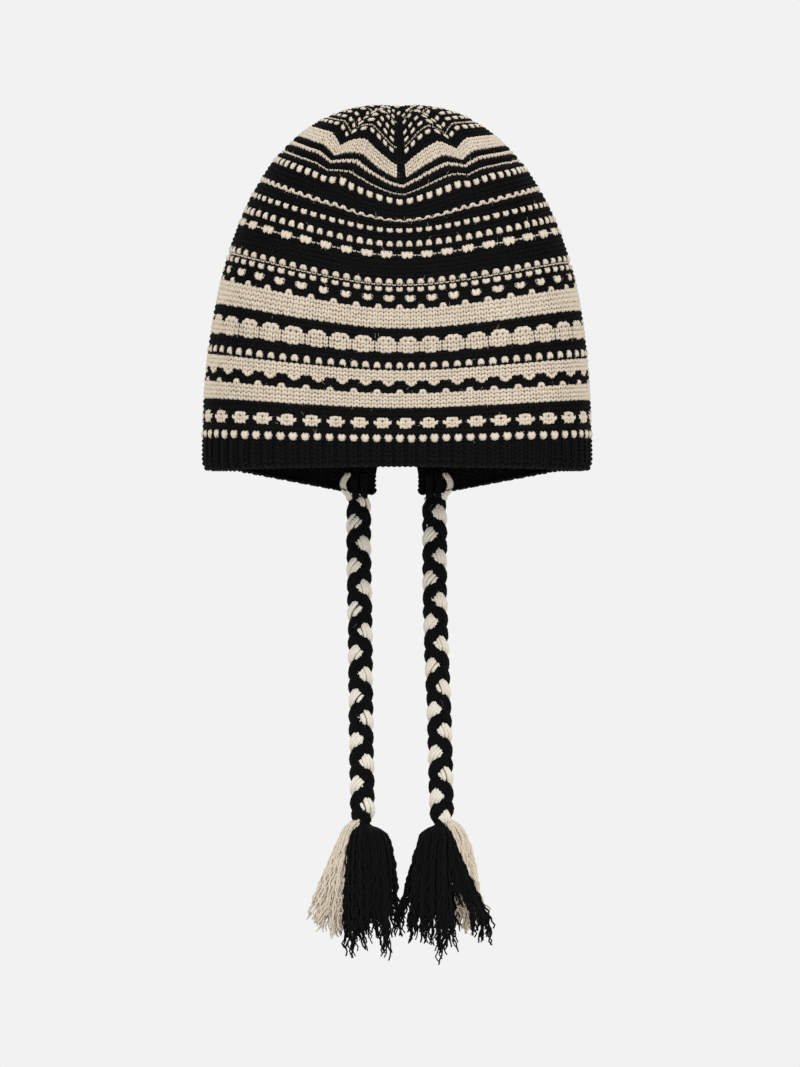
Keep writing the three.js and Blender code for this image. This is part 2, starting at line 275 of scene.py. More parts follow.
# The rib, in millimetres or in shares of a stitch: its rows and how deep they lie, the legs of a knit wale,
# the bars of a purl wale and the loops of the cast-on edge. RIB_NUDGE is an angle like the one above.
RIB_ROW = 2.06
RIB_INSET = 1.25
RIB_MAP_COLUMNS = 128
RIB_NUDGE = 0.01
KNIT_LEG_WIDTH = 1.15
KNIT_LEG_THICKNESS = 0.27
PURL_BAR_SHIFT = 0.225
PURL_BAR_LENGTH = 0.81
PURL_BAR_WIDTH = 1.2
PURL_BAR_THICKNESS = 0.42
PURL_BAR_HEIGHT = 0.8
EDGE_LOOP_RISE = 0.9
EDGE_LOOP_STEEPEST = 2.0
EDGE_LOOP_WIDTH = 3.2
EDGE_LOOP_LENGTH = 0.62
EDGE_LOOP_THICKNESS = 0.62
EDGE_LOOP_HEIGHT = 1.15
BAND_GROUND_INSET = 1.75
BAND_GROUND_RISE = 0.3

# Loose hairs of the wool
FIBRE_ROOT = 0.5
FIBRE_LENGTH = (1.0, 2.8)
FIBRE_RISE = (0.3, 1.0)
FIBRE_RADII = (0.055, 0.0495, 0.0275)
FIBRE_GUIDE = (0.3, 0.5, 0.8)

# The tone mixes a yarn's shaded and full colour: middle and spread, or one low tone for a ground, which
# paints shade on the grounds lying under the stitches.
# RIB_PROUD is middle and spread too, of how far a rib stitch stands out.
STITCH_TONE = (0.42, 0.14)
RIB_TONE = (0.40, 0.15)
EDGE_TONE = (0.40, 0.12)
FIBRE_TONE = (0.5, 0.12)
BRAID_TONE = (0.42, 0.10)
TASSEL_TONE = (0.45, 0.16)
RIB_PROUD = (1.05, 0.08)
GROUND_PAINTED_SHADE = 0.25
BAND_GROUND_PAINTED_SHADE = 0.2

# The yarns: colour, how much of it the shaded fibre keeps in each channel, sheen and specular
YARNS = {
    "black_wool_yarn": ("black", (0.35, 0.35, 0.35), 0.02, 0.07),
    "cream_wool_yarn": ("cream", (0.86, 0.82, 0.76), 0.2, 0.2),
    "ecru_wool_yarn": ("ecru", (0.86, 0.82, 0.76), 0.2, 0.2),
}

# Clumps of fibre and single hairs: size in millimetres, detail and roughness of the noise
FIBRE_NOISE = [(10 / 11, 3.0, 0.6), (0.25, 2.0, 0.7)]
MOTTLE_STRENGTH = 0.55
HAIR_RELIEF = 0.5
RELIEF_DEPTH = 0.4

# Each small shape leaves this share of its cell in the map free on every side
CELL_MARGIN = 0.05

# A tube's end stands out by this share of its radius
TIP_LENGTH = 0.5

# The room in metres: camera, air and pale paper that fades into the air, and the softboxes
AIM_X = 0.0014
CAMERA_DISTANCE = 4.4
PICTURE_HEIGHT = 0.505
AIR_COLOUR = "#f2f2f2"
FLOOR_COLOUR = "#d2d2d2"
FLOOR_HALF_WIDTH = 14.0
FLOOR_BELOW = 0.16
FLOOR_FADE = (0.7, 1.7)
LIGHTS = [
    # name, place, power, size
    ("key_softbox", (-1.3, -2.2, 1.5), 34.0, 1.6),
    ("fill_softbox", (1.7, -1.9, 0.6), 22.0, 1.8),
    ("front_softbox", (0.0, -3.0, -0.4), 14.0, 1.8),
    ("back_softbox", (0.3, 2.4, 1.6), 26.0, 1.6),
]

# Ties, with the routes that the solids follow: one height and depth for both, and x on each side
TIE_Z = [-183.2, -193.4, -203.7, -214.0, -224.2, -234.5, -244.7, -255.0,
         -265.2, -275.5, -285.7, -296.0, -306.2, -316.5, -326.7, -337.0]
TIE_Y = [59.0, 58.9, 58.8, 58.7, 58.6, 58.5, 58.4, 58.3, 58.3, 58.2, 58.2, 58.1, 58.1, 58.1, 58.1, 58.1]
TIE_X = {
    "left": [-18.3, -18.4, -18.4, -18.3, -18.1, -17.9, -17.7, -17.6,
             -17.5, -17.4, -17.3, -17.2, -17.0, -16.8, -16.6, -16.5],
    "right": [17.9, 18.0, 18.1, 18.1, 18.1, 18.3, 18.6, 18.9,
              19.3, 19.8, 20.2, 20.5, 20.8, 21.0, 21.2, 21.4],
}
BRAID_PERIOD = 20.9
BRAID_SWING = 2.8
BRAID_DEPTH = -1.75
BRAID_START = {"left": 0.14, "right": 0.845}
BRAID_STEPS = 120
STRAND_HALF_WIDTH = 2.45
STRAND_HALF_THICKNESS = 1.25
STRAND_TWIST = 46.0
YARNS_IN_STRAND = 9
YARN_RADIUS = 0.92
YARN_STRAY = 0.1

# The braid's ends go into the loop and the tassel and are drawn narrower there; the plies show as waves
BRAID_HEAD_TUCK = 1.5
BRAID_END_TUCK = 0.5
HEAD_NARROWING = 0.15
HEAD_REACH = 3.0
END_NARROWING = 0.28
END_REACH = 4.5
PLY_RELIEF = 0.06
PLY_WAVE = 2.4

# The loop through the flap: how far in and how high above the flap's foot its sides run
LOOP_SIDE = [(0.6, 9.2), (0.0, 7.0), (0.0, 3.5), (0.4, 0.2), (2.0, -1.8)]
LOOP_HEAD = 9.4
LOOP_DROP = 2.4
LOOP_GAP = 1.3
LOOP_STEPS = 40
LOOP_BOW_LEVEL = 4.4
LOOP_BOW_REACH = 5.5
LOOP_YARN_APART = 0.6
LOOP_YARN_RADIUS = 1.0
LOOP_STRANDS = [
    # place, how far it bows out, material
    (4.7, 3.0, 2),
    (1.6, 0.8, 0),
    (-2.6, 0.2, 0),
]

# Locks of yarn: where each tip hangs, measured from the tie's end away from the notch and to the front,
# and how soon it swells out, 1 as a dome and 0 as a straight line
TASSEL_LOCKS = {
    # out, forward, drop, thickness, dome
    ("left", "black"): [
        (-14.6, 1.5, 55.0, 2.2, 1.0), (-12.4, 5.0, 53.0, 2.3, 1.0), (-9.6, 7.5, 65.0, 2.2, 1.0),
        (-6.6, 9.0, 56.0, 2.4, 1.0), (-3.4, 9.5, 52.0, 2.5, 1.0), (-0.4, 9.0, 60.0, 2.5, 1.0),
        (2.6, 7.5, 58.0, 2.4, 1.0), (5.0, 5.5, 65.0, 2.4, 1.0), (6.8, 2.5, 62.0, 2.2, 1.0),
        (-10.0, -1.0, 54.0, 2.6, 1.0), (-5.0, -2.0, 53.0, 2.8, 1.0), (0.0, -2.0, 55.0, 2.8, 1.0),
        (4.6, -1.0, 56.0, 2.6, 1.0),
    ],
    ("right", "black"): [
        (-18.2, 0.5, 54.0, 2.0, 0.5), (-15.4, 4.0, 57.0, 2.3, 0.6), (-12.0, 7.0, 55.0, 2.4, 0.75),
        (-8.4, 9.0, 57.0, 2.5, 0.8), (-4.6, 9.5, 58.0, 2.5, 0.8), (-1.2, 9.0, 67.0, 2.3, 0.7),
        (2.4, 8.0, 63.0, 2.4, 0.4), (4.8, 7.0, 61.0, 2.2, 0.2), (8.8, 6.0, 40.0, 1.8, 0.1),
        (12.8, 5.0, 55.0, 1.6, 0.0), (16.2, 4.5, 58.0, 1.6, 0.0), (19.0, 3.5, 58.0, 1.3, 0.0),
        (-13.0, -1.0, 52.0, 2.6, 0.8), (-7.0, -2.0, 53.0, 2.8, 0.8), (-1.0, -2.0, 54.0, 2.8, 0.8),
        (4.0, -1.0, 54.0, 2.4, 0.3),
    ],
    ("left", "cream"): [
        (22.8, 0.5, 47.0, 1.9, 0.35), (20.2, 1.5, 52.0, 2.1, 0.4), (17.4, 2.0, 55.0, 2.2, 0.5),
        (14.4, 2.0, 56.0, 2.3, 0.6), (11.4, 1.0, 54.0, 2.3, 0.7), (8.6, 0.5, 53.0, 2.3, 0.7),
        (20.8, -3.5, 49.0, 2.0, 0.4), (16.5, -4.5, 53.0, 2.4, 0.5), (12.0, -4.5, 53.0, 2.4, 0.7),
        (7.5, -4.0, 52.0, 2.4, 0.7),
    ],
    ("right", "cream"): [
        (18.4, 0.0, 45.0, 1.9, 0.7), (16.2, 0.5, 49.0, 2.1, 0.7), (13.4, 0.5, 53.0, 2.2, 0.8),
        (10.4, 0.0, 54.0, 2.2, 0.9), (7.2, -0.5, 51.0, 2.2, 1.0), (16.0, -4.0, 47.0, 2.0, 0.7),
        (11.5, -4.5, 52.0, 2.3, 0.8), (7.0, -4.5, 50.0, 2.3, 1.0),
    ],
}

# Form of a tassel's yarns: how tightly the knot holds them, how they swell below it as a dome or in a
# straight line, how much they stray, taper and wave, in millimetres and shares of their length
HEAD_SHARE = 0.42
DOME_LENGTH = 11.0
STRAIGHT_LENGTH = 40.0
STRAIGHT_HEAD = 0.15
STRAIGHT_MOST = 1.15
STRAIGHT_BEND = 1.35
KNOT_LENGTH = 1.6
KNOT_START = {"black": 2.4, "cream": -1.2}
KNOT_TIGHTNESS = 0.25
YARN_STEPS = 40
YARN_TUCK = 1.5
YARN_DROP_SPREAD = (0.80, 1.03)
YARN_WAVE = (6.0, 12.0)
YARN_STRAY_TIP = 0.6
LOCK_DRIFT = 1.0
LOCK_CURL = 1.6
LOCK_TAPER = 0.7
TIP_START = 0.8
SHAKE_HEAD = 0.17
SHAKE_GROWTH = 0.42


def linear(code):
    """An sRGB hex colour made linear, with full alpha"""
    parts = [int(code[i:i + 2], 16) / 255 for i in (1, 3, 5)]
    return (*(c / 12.92 if c <= 0.04045 else ((c + 0.055) / 1.055) ** 2.4 for c in parts), 1.0)


class BeanieKnit(bpy.types.PropertyGroup):
    """Sizes of the stitches and of the loose yarn"""

    leg_thickness: FloatProperty(
        name="Leg Thickness", description="Half the width of a stitch's leg, as a share of the stitch",
        default=0.32, min=0.1, max=0.5, subtype="FACTOR")
    leg_height: FloatProperty(
        name="Leg Height", description="How far a stitch stands proud of the ground",
        default=0.00095, min=0.0, max=0.003, unit="LENGTH")
    yarns_in_lock: IntProperty(
        name="Yarns in a Lock", description="Loose yarns in each lock of a tassel",
        default=13, min=4, max=30)
    tassel_yarn: FloatProperty(
        name="Tassel Yarn Radius", description="Radius of one loose yarn",
        default=0.00056, min=0.0002, max=0.002, unit="LENGTH")
    fibres: IntProperty(
        name="Loose Fibres", description="Fine fibres that stand out of the knit",
        default=7000, min=0, max=20000)


class BeanieColours(bpy.types.PropertyGroup):
    """Colours of the three yarns"""

    black: FloatVectorProperty(
        name="Black Wool", description="Colour of the black yarn", subtype="COLOR",
        size=4, min=0.0, max=1.0, default=linear("#090809"))
    cream: FloatVectorProperty(
        name="Cream Wool", description="Colour of the cream yarn", subtype="COLOR",
        size=4, min=0.0, max=1.0, default=linear("#cdc1af"))
    ecru: FloatVectorProperty(
        name="Ecru Wool", description="Colour of the pale yarn in the braids", subtype="COLOR",
        size=4, min=0.0, max=1.0, default=linear("#dbd5c8"))


def add_node(tree, kind, settings=None, links=None):
    """Adds a node, sets its properties and sockets, and links its inputs"""
    node = tree.nodes.new(kind)
    for key, value in (settings or {}).items():
        if isinstance(key, str) and hasattr(node, key):
            setattr(node, key, value)
        else:
            node.inputs[key].default_value = value
    for key, output in (links or {}).items():
        tree.links.new(output, node.inputs[key])
    return node


def empty_material(name):
    material = bpy.data.materials.new(name)
    material.use_nodes = True
    material.node_tree.nodes.clear()
    return material, material.node_tree


def wool(name, light, shade, sheen, specular):
    """Carded wool, spun in two plies and knitted or plaited: matte, hairy and mottled along the ply"""
    material, tree = empty_material(name)
    deep = (*(c * share for c, share in zip(light, shade)), 1.0)
    place = add_node(tree, "ShaderNodeTexCoord").outputs["Object"]
    tone = add_node(tree, "ShaderNodeAttribute", {"attribute_name": "tone"})
    clumps, hairs = [
        add_node(tree, "ShaderNodeTexNoise",
                 {"Scale": 1 / (size * MM), "Detail": detail, "Roughness": roughness}, {"Vector": place})
        for size, detail, roughness in FIBRE_NOISE]
    mottle = add_node(tree, "ShaderNodeMath", {"operation": "MULTIPLY_ADD", 1: MOTTLE_STRENGTH},
                      {0: clumps.outputs["Fac"], 2: tone.outputs["Fac"]})
    colour = add_node(tree, "ShaderNodeMix", {"data_type": "RGBA", 6: deep, 7: light},
                      {0: mottle.outputs[0]})
    relief = add_node(tree, "ShaderNodeMath", {"operation": "MULTIPLY_ADD", 1: HAIR_RELIEF},
                      {0: hairs.outputs["Fac"], 2: clumps.outputs["Fac"]})
    bump = add_node(tree, "ShaderNodeBump", {"Strength": 0.5, "Distance": RELIEF_DEPTH * MM},
                    {"Height": relief.outputs[0]})
    surface = add_node(tree, "ShaderNodeBsdfPrincipled",
                       {"Roughness": 0.93, "Sheen Weight": sheen, "Sheen Roughness": 0.6,
                        "Specular IOR Level": specular},
                       {"Base Color": colour.outputs[2], "Normal": bump.outputs["Normal"]})
    add_node(tree, "ShaderNodeOutputMaterial", None, {"Surface": surface.outputs["BSDF"]})
    return material


def yarn_materials():
    """The three yarns, made once and shared by every piece"""
    colours = bpy.context.scene.beanie_colours
    return [bpy.data.materials.get(name) or wool(name, getattr(colours, colour), *finish)
            for name, (colour, *finish) in YARNS.items()]


class Gather:
    """Collects many small shapes, each with its own cell of the map, and makes one mesh of them"""

    def __init__(self, shapes, wide):
        self.wide = wide
        self.cell = np.array([1 / wide, 1 / math.ceil(shapes / wide)])
        self.points = []
        self.tones = []
        self.faces = {3: [], 4: []}
        self.maps = {3: [], 4: []}
        self.inks = {3: [], 4: []}
        self.shapes = 0
        self.count = 0

    def add(self, points, faces, maps, inks, tones):
        """points (S, P, 3), faces {size: (F, size)}, maps {size: (F, size, 2)}, one ink and tone a shape"""
        shapes, each = points.shape[:2]
        starts = self.count + np.arange(shapes) * each
        index = self.shapes + np.arange(shapes)
        corner = np.stack([index % self.wide, index // self.wide], axis=1) + CELL_MARGIN
        for size, table in faces.items():
            placed = corner[:, None, None] + (1 - 2 * CELL_MARGIN) * maps[size]
            self.faces[size].append((starts[:, None, None] + table).reshape(-1, size))
            self.maps[size].append((placed * self.cell).reshape(-1, 2))
            self.inks[size].append(np.repeat(inks, len(table)))
        self.points.append(points.reshape(-1, 3))
        self.tones.append(np.repeat(tones, each))
        self.shapes += shapes
        self.count += shapes * each

    def make(self, name, replaced):
        """The mesh as an object that rides on the hat and stands for a solid"""
        points = np.concatenate(self.points) * MM
        sizes = [size for size in (3, 4) if self.faces[size]]
        corners = np.concatenate([np.concatenate(self.faces[size]).ravel() for size in sizes])
        totals = np.concatenate([np.full(sum(map(len, self.faces[size])), size) for size in sizes])
        inks = np.concatenate([np.concatenate(self.inks[size]) for size in sizes])
        maps = np.concatenate([np.concatenate(self.maps[size]) for size in sizes])
        mesh = bpy.data.meshes.new(name)
        mesh.vertices.add(len(points))
        mesh.vertices.foreach_set("co", points.astype(np.float32).ravel())
        mesh.loops.add(len(corners))
        mesh.loops.foreach_set("vertex_index", corners.astype(np.int32))
        mesh.polygons.add(len(totals))
        starts = np.concatenate([[0], np.cumsum(totals)[:-1]])
        for key, values in (("loop_start", starts), ("loop_total", totals), ("material_index", inks)):
            mesh.polygons.foreach_set(key, values.astype(np.int32))
        mesh.polygons.foreach_set("use_smooth", np.ones(len(totals), bool))
        layer = mesh.uv_layers.new(name="OFBake")
        layer.data.foreach_set("uv", maps.astype(np.float32).ravel())
        tone = mesh.attributes.new("tone", "FLOAT", "POINT")
        tone.data.foreach_set("value", np.concatenate(self.tones).astype(np.float32))
        for material in yarn_materials():
            mesh.materials.append(material)
        mesh.update(calc_edges=True)
        mesh.validate()
        piece = bpy.data.objects.new(name, mesh)
        bpy.context.collection.objects.link(piece)
        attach(piece, BODY)
        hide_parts(replaced)
        return piece


def unit(vectors):
    return vectors / np.maximum(np.linalg.norm(vectors, axis=-1, keepdims=True), 1e-9)


def lengths_along(line):
    """How far along a line each of its points is"""
    return np.concatenate([[0], np.cumsum(np.linalg.norm(np.diff(line, axis=0), axis=1))])


def ring_quads(rings, sides, closed=False):
    """Quads between rings of points, closed to the first or not, and their places by side and ring"""
    ring, side = np.divmod(np.arange((rings if closed else rings - 1) * sides), sides)
    near = ring * sides
    far = (ring + 1) % rings * sides
    following = (side + 1) % sides
    quads = np.stack([near + side, near + following, far + following, far + side], axis=1)
    return quads, np.stack([side, ring], axis=1)[:, None] + np.array([(0, 0), (1, 0), (1, 1), (0, 1)])


def tubes(gather, paths, radii, sides, guide, inks, tones):
    """Closed tubes along many paths (S, P, 3) with radii (S, P), each ending in a tip"""
    shapes, steps = paths.shape[:2]
    tangent = unit(np.gradient(paths, axis=1))
    first = unit(np.cross(tangent, np.asarray(guide, float)))
    second = np.cross(tangent, first)
    angles = (2 * math.pi * np.arange(sides) / sides)[:, None]
    ring = np.cos(angles) * first[:, :, None] + np.sin(angles) * second[:, :, None]
    rings = paths[:, :, None] + ring * radii[:, :, None, None]
    tips = np.stack([paths[:, 0] - tangent[:, 0] * radii[:, :1] * TIP_LENGTH,
                     paths[:, -1] + tangent[:, -1] * radii[:, -1:] * TIP_LENGTH], axis=1)
    points = np.concatenate([rings.reshape(shapes, -1, 3), tips], axis=1)
    side = np.arange(sides)
    following = (side + 1) % sides
    last = (steps - 1) * sides
    near = np.stack([following, side, np.full(sides, steps * sides)], axis=1)
    far = np.stack([last + side, last + following, np.full(sides, steps * sides + 1)], axis=1)
    near_map = [[(s + 1, 1), (s, 1), (s + 0.5, 0)] for s in side]
    far_map = [[(s, steps), (s + 1, steps), (s + 0.5, steps + 1)] for s in side]
    quads, places = ring_quads(steps, sides)
    whole = (sides, steps + 1)
    gather.add(points, {4: quads, 3: np.concatenate([near, far])},
               {4: (places + (0, 1)) / whole, 3: np.array(near_map + far_map) / whole}, inks, tones)


def signed_power(value, power):
    return np.sign(value) * np.abs(value) ** power


def shell(azimuth, height, inset):
    """Points of the egg-like form; height is above the rim level, and below it the wall is straight"""
    full = OUTSIDE_TOP - RIM_LEVEL - inset
    t = np.clip(height / full, 0, 1)
    shrink = (1 - t ** PROFILE_ROUNDNESS) ** (1 / PROFILE_ROUNDNESS)
    across = 2 / PLAN_ROUNDNESS
    x = (HALF_WIDTH - inset) * shrink * signed_power(np.sin(azimuth), across)
    y = -(HALF_DEPTH - inset) * shrink * signed_power(np.cos(azimuth), across)
    return np.stack([x, y, RIM_LEVEL + height + 0 * x], axis=-1)


def turn_between(azimuth, degrees):
    """The smaller angle between an azimuth in radians and one in degrees, in degrees"""
    turn = np.abs(np.degrees(azimuth) - degrees) % 360
    return np.minimum(turn, 360 - turn)


def crown_point(azimuth, angle, inset):
    """A point of the crown at a profile angle, drawn in along the darts and gently uneven"""
    full = OUTSIDE_TOP - RIM_LEVEL - inset
    height = full * np.sin(angle) ** (2 / PROFILE_ROUNDNESS)
    point = shell(azimuth, height, inset)
    radius = np.hypot(point[..., 0], point[..., 1]) + 1e-6
    down = OUTSIDE_TOP - RIM_LEVEL - height
    fade = np.clip((down / DART_REACH - DART_FADE_START) / (1 - DART_FADE_START), 0, 1)
    along = 1 - fade * fade * (3 - 2 * fade)
    depth = np.zeros_like(radius)
    for degrees in DART_AZIMUTHS:
        most = MIDDLE_DART_DEPTH if degrees in MIDDLE_DARTS else OTHER_DART_DEPTH
        off = np.radians(turn_between(azimuth, degrees)) * radius
        depth = np.maximum(depth, most * along * np.exp(-(off / DART_HALF_WIDTH) ** 2))
    depth = depth * np.minimum(1, radius / DIMPLE_RADIUS)
    wave = sum(swell * np.sin(waves * azimuth + shift + turns * angle)
               for swell, waves, shift, turns in UNEVEN_WAVES)
    wave = wave * np.minimum(1, radius / UNEVEN_RADIUS) * np.minimum(1, angle / UNEVEN_ANGLE)
    draw = np.minimum(depth, 0.5 * radius) * np.cos(angle) - wave * np.cos(angle)
    point[..., 0] -= point[..., 0] / radius * draw
    point[..., 1] -= point[..., 1] / radius * draw
    point[..., 2] -= depth * np.sin(angle) + TOP_DIMPLE * np.exp(-(radius / DIMPLE_RADIUS) ** 2)
    return point


def rows_drawn_down(row, azimuth):
    """How many rows the knit is drawn down where darts gather it"""
    middle, other = [np.interp(row, ROW_DIPS[:, 0], column) for column in ROW_DIPS[:, 1:].T]
    left_span, left_sharp, right_span, right_sharp = [
        np.interp(row, MIDDLE_DIP_FORM[:, 0], column) for column in MIDDLE_DIP_FORM[:, 1:].T]
    on_right = np.sin(azimuth) > 0
    middle_form = (middle, np.where(on_right, right_span, left_span),
                   np.where(on_right, right_sharp, left_sharp))
    other_form = (other, OTHER_DIP_SPAN, OTHER_DIP_SHARPNESS)
    drawn = np.zeros_like(row + azimuth)
    for degrees in DART_AZIMUTHS:
        most, span, sharp = middle_form if degrees in MIDDLE_DARTS else other_form
        near = np.clip(1 - turn_between(azimuth, degrees) / span, 0, 1) ** sharp
        drawn = np.maximum(drawn, most * near)
    return drawn


def row_angle(row, azimuth):
    """Profile angle of a row of stitches; rows hang lower in front and behind and dip at the darts"""
    lean = PATTERN_LEAN * np.sin(azimuth)
    lean = lean * np.clip(row / LEAN_GROWS, 0, 1) * np.clip((ROWS - row) / LEAN_FADES, 0, 1)
    row = row - rows_drawn_down(row, azimuth)
    soft = SMILE_SOFTNESS
    smile = (np.sqrt(np.sin(azimuth) ** 2 + soft ** 2) - soft) / (math.sqrt(1 + soft ** 2) - soft)
    front_drop, side_drop = [np.interp(row, ROW_LEVELS[:, 0], column) for column in ROW_LEVELS[:, 1:].T]
    drop = front_drop + (side_drop - front_drop) * smile + lean
    level = np.clip(1 - drop / (OUTSIDE_TOP - RIM_LEVEL), 0, 1)
    angle = np.arcsin(level ** (PROFILE_ROUNDNESS / 2))
    last = ROW_LEVELS[-1, 0]
    share = np.clip((row - last) / (ROWS - last), 0, 1)
    closing = 1 - (1 - share) ** (PROFILE_ROUNDNESS / 2)
    return angle + (math.pi / 2 - angle) * closing


def rim_azimuths(shares):
    """Azimuths of shares of the stitches round the rim, which stretch wider towards the sides"""
    shares = shares - SIDE_STRETCH / (4 * math.pi) * np.sin(4 * math.pi * np.asarray(shares))
    fine = np.linspace(0, 2 * math.pi, 7201)
    lengths = lengths_along(shell(fine, np.zeros_like(fine), 0.0))
    return np.interp(shares, lengths / lengths[-1], fine)


def crown_sites():
    """Every stitch of the crown: its row, azimuth, width and place in the chart"""
    sites = []
    edges = rim_azimuths(np.array(GORES) / WALES)
    counts = list(np.diff(GORES))
    for row in range(ROWS):
        for gore, full in enumerate(np.diff(GORES)):
            fine = np.linspace(edges[gore], edges[gore + 1], 81)
            middle = np.full_like(fine, row + 0.5)
            lengths = lengths_along(crown_point(fine, row_angle(middle, fine), STITCH_INSET))
            if row >= FIRST_DECREASE:
                fitting = 2 * round(lengths[-1] / LEAST_PITCH / 2)
                counts[gore] = max(1, min(counts[gore], fitting))
            count = counts[gore]
            share = (np.arange(count) + 0.5) / count
            if row < FIRST_DECREASE:
                azimuth = rim_azimuths((GORES[gore] + share * full) / WALES)
            else:
                azimuth = np.interp(share * lengths[-1], lengths, fine)
            first = GORES[gore] + 2 * ((full - count) // 4)
            width = np.full(count, lengths[-1] / count)
            sites.append((np.full(count, row), azimuth, width, first + np.arange(count)))
    return [np.concatenate(part) for part in zip(*sites)]


def leg_template(lean):
    """One leg of a stitch between two tips: its spine and offsets, its faces and their maps"""
    out = -LEG_FOOT - LEG_SPLAY * LEG_STEPS
    up = LEG_LENGTH * LEG_STEPS - LEG_BELOW
    proud = LEG_ARCH * np.sin(math.pi * LEG_STEPS) - LEG_BURIED
    size = np.sin(math.pi * (LEG_TIP + (1 - 2 * LEG_TIP) * LEG_STEPS)) ** LEG_FULLNESS
    points = [(out[0], 0.0, up[0], proud[0])]
    for i in (1, 2, 3):
        for aside, rise in ((-1, 0), (0, 1), (1, 0)):
            points.append((out[i], aside * size[i], up[i], proud[i] + rise * size[i]))
    points.append((out[4], 0.0, up[4], proud[4]))
    spine, aside, up, proud = np.array(points).T
    foot = [(0, 1 + (k + 1) % 3, 1 + k) for k in range(3)]
    tip = [(7 + k, 7 + (k + 1) % 3, 10) for k in range(3)]
    v = LEG_STEPS
    quad_map = [[(start, v[i]), (end, v[i]), (end, v[i + 1]), (start, v[i + 1])]
                for i in (1, 2) for start, end in LEG_MAP_STRIPS]
    foot_map = [[((start + end) / 2, 0), (end, v[1]), (start, v[1])] for start, end in LEG_MAP_STRIPS]
    tip_map = [[(start, v[3]), (end, v[3]), ((start + end) / 2, 1)] for start, end in LEG_MAP_STRIPS]
    faces = {4: 1 + ring_quads(3, 3)[0], 3: np.array(foot + tip)}
    maps = {4: np.array(quad_map), 3: np.array(foot_map + tip_map)}
    if lean > 0:
        faces, maps = [{size: rows[:, ::-1] for size, rows in table.items()} for table in (faces, maps)]
    return -lean * spine, -lean * aside, up, proud, faces, maps


def stamp_legs(gather, lean, middle, across, along, outward, thick, high, inks, tones):
    """Places one leg at every stitch. across and along are the stitch's own width and height as vectors"""
    spine, aside, up, proud, faces, maps = leg_template(lean)
    u = (spine + aside * thick[:, None])[..., None] * across[:, None]
    v = up[:, None] * along[:, None]
    n = (proud * high[:, None])[..., None] * outward[:, None]
    gather.add(middle[:, None] + u + v + n, faces, maps, inks, tones)


def chart_letters(rows, columns):
    """The chart's letters at stitches given by row and column"""
    chart = np.array([list(row) for row in CHART])
    return chart[rows, columns % 4]


def seam_stitches(rows, azimuths, widths):
    """Which stitches lie along the seams in the middle of the front and back"""
    turn = np.minimum(turn_between(azimuths, 0.0), turn_between(azimuths, 180.0))
    place = crown_point(azimuths, row_angle(rows + 0.5, azimuths), STITCH_INSET)
    off = np.abs(place[:, 0] - SEAM_OFFSET * np.sign(np.cos(azimuths)))
    return (rows >= SEAM_FIRST_ROW) & (turn < SEAM_TURN) & (off < widths * SEAM_HALF_WIDTH)


def stitch_frames(rows, azimuths, widths):
    """The middle of each stitch, the way across it, its height upward and the way outward"""
    nudge = 0.5 * widths / NUDGE_RADIUS
    centre, right, left, above, below = [
        crown_point(azimuths + turn, row_angle(rows + 0.5 + rise, azimuths + turn), STITCH_INSET)
        for turn, rise in ((0, 0), (nudge, 0), (-nudge, 0), (0, 0.5), (0, -0.5))]
    across = unit(right - left)
    along = above - below
    return centre, across, along, unit(np.cross(across, along))


def knit_crown():
    """The crown's stitches, in three pieces, and the ground and inside face that carry them"""
    draws = np.random.default_rng(SEED)
    knit = bpy.context.scene.beanie_knit
    rows, azimuths, widths, columns = crown_sites()
    total = len(rows)
    centre, across, along, outward = stitch_frames(rows, azimuths, widths)
    letters = chart_letters(rows, columns)
    letters[seam_stitches(rows, azimuths, widths)] = "k"
    looks = np.array([STITCH_LOOKS[letter] for letter in letters])
    left_inks, right_inks, wide, tall, lift, thickness, shift, turned = looks.T
    trimmed = np.isin(letters, TRIMMED)
    dark_above = trimmed & (chart_letters(np.minimum(rows + 1, ROWS - 1), columns) == "k")
    dark_below = trimmed & (chart_letters(np.maximum(rows - 1, 0), columns) == "k")
    tall = tall - DARK_NEIGHBOUR_TRIM * (dark_above + dark_below.astype(float))
    shift = shift + DARK_NEIGHBOUR_TRIM / 2 * (dark_below.astype(float) - dark_above)
    centre = centre + outward * lift[:, None] + along * shift[:, None]
    centre = centre + across * draws.normal(0, STRAY_ACROSS, total)[:, None]
    centre = centre + along * draws.normal(0, STRAY_ALONG, total)[:, None]
    across = across * (widths * wide * turned)[:, None]
    along = along * (tall * turned * draws.normal(1, HEIGHT_SPREAD, total))[:, None]
    tones = draws.normal(*STITCH_TONE, total)
    high = knit.leg_height / MM * draws.normal(1, PROUD_SPREAD, total)
    thickness = knit.leg_thickness * thickness
    for name, (first, last) in CROWN_PIECES.items():
        chosen = (rows >= first) & (rows < last)
        some = int(chosen.sum())
        gather = Gather(2 * some, 2 * math.ceil(math.sqrt(some)))
        for lean, inks in ((-1, left_inks), (1, right_inks)):
            thick = thickness[chosen] * draws.normal(1, THICKNESS_SPREAD, some)
            leg_tones = tones[chosen] + draws.normal(0, LEG_TONE_SPREAD, some)
            stamp_legs(gather, lean, centre[chosen], across[chosen], along[chosen], outward[chosen],
                       thick, high[chosen], inks[chosen], leg_tones)
        gather.make(name, "crown")
    knit_ground()
    loose_fibres(centre, across, along, outward, right_inks)


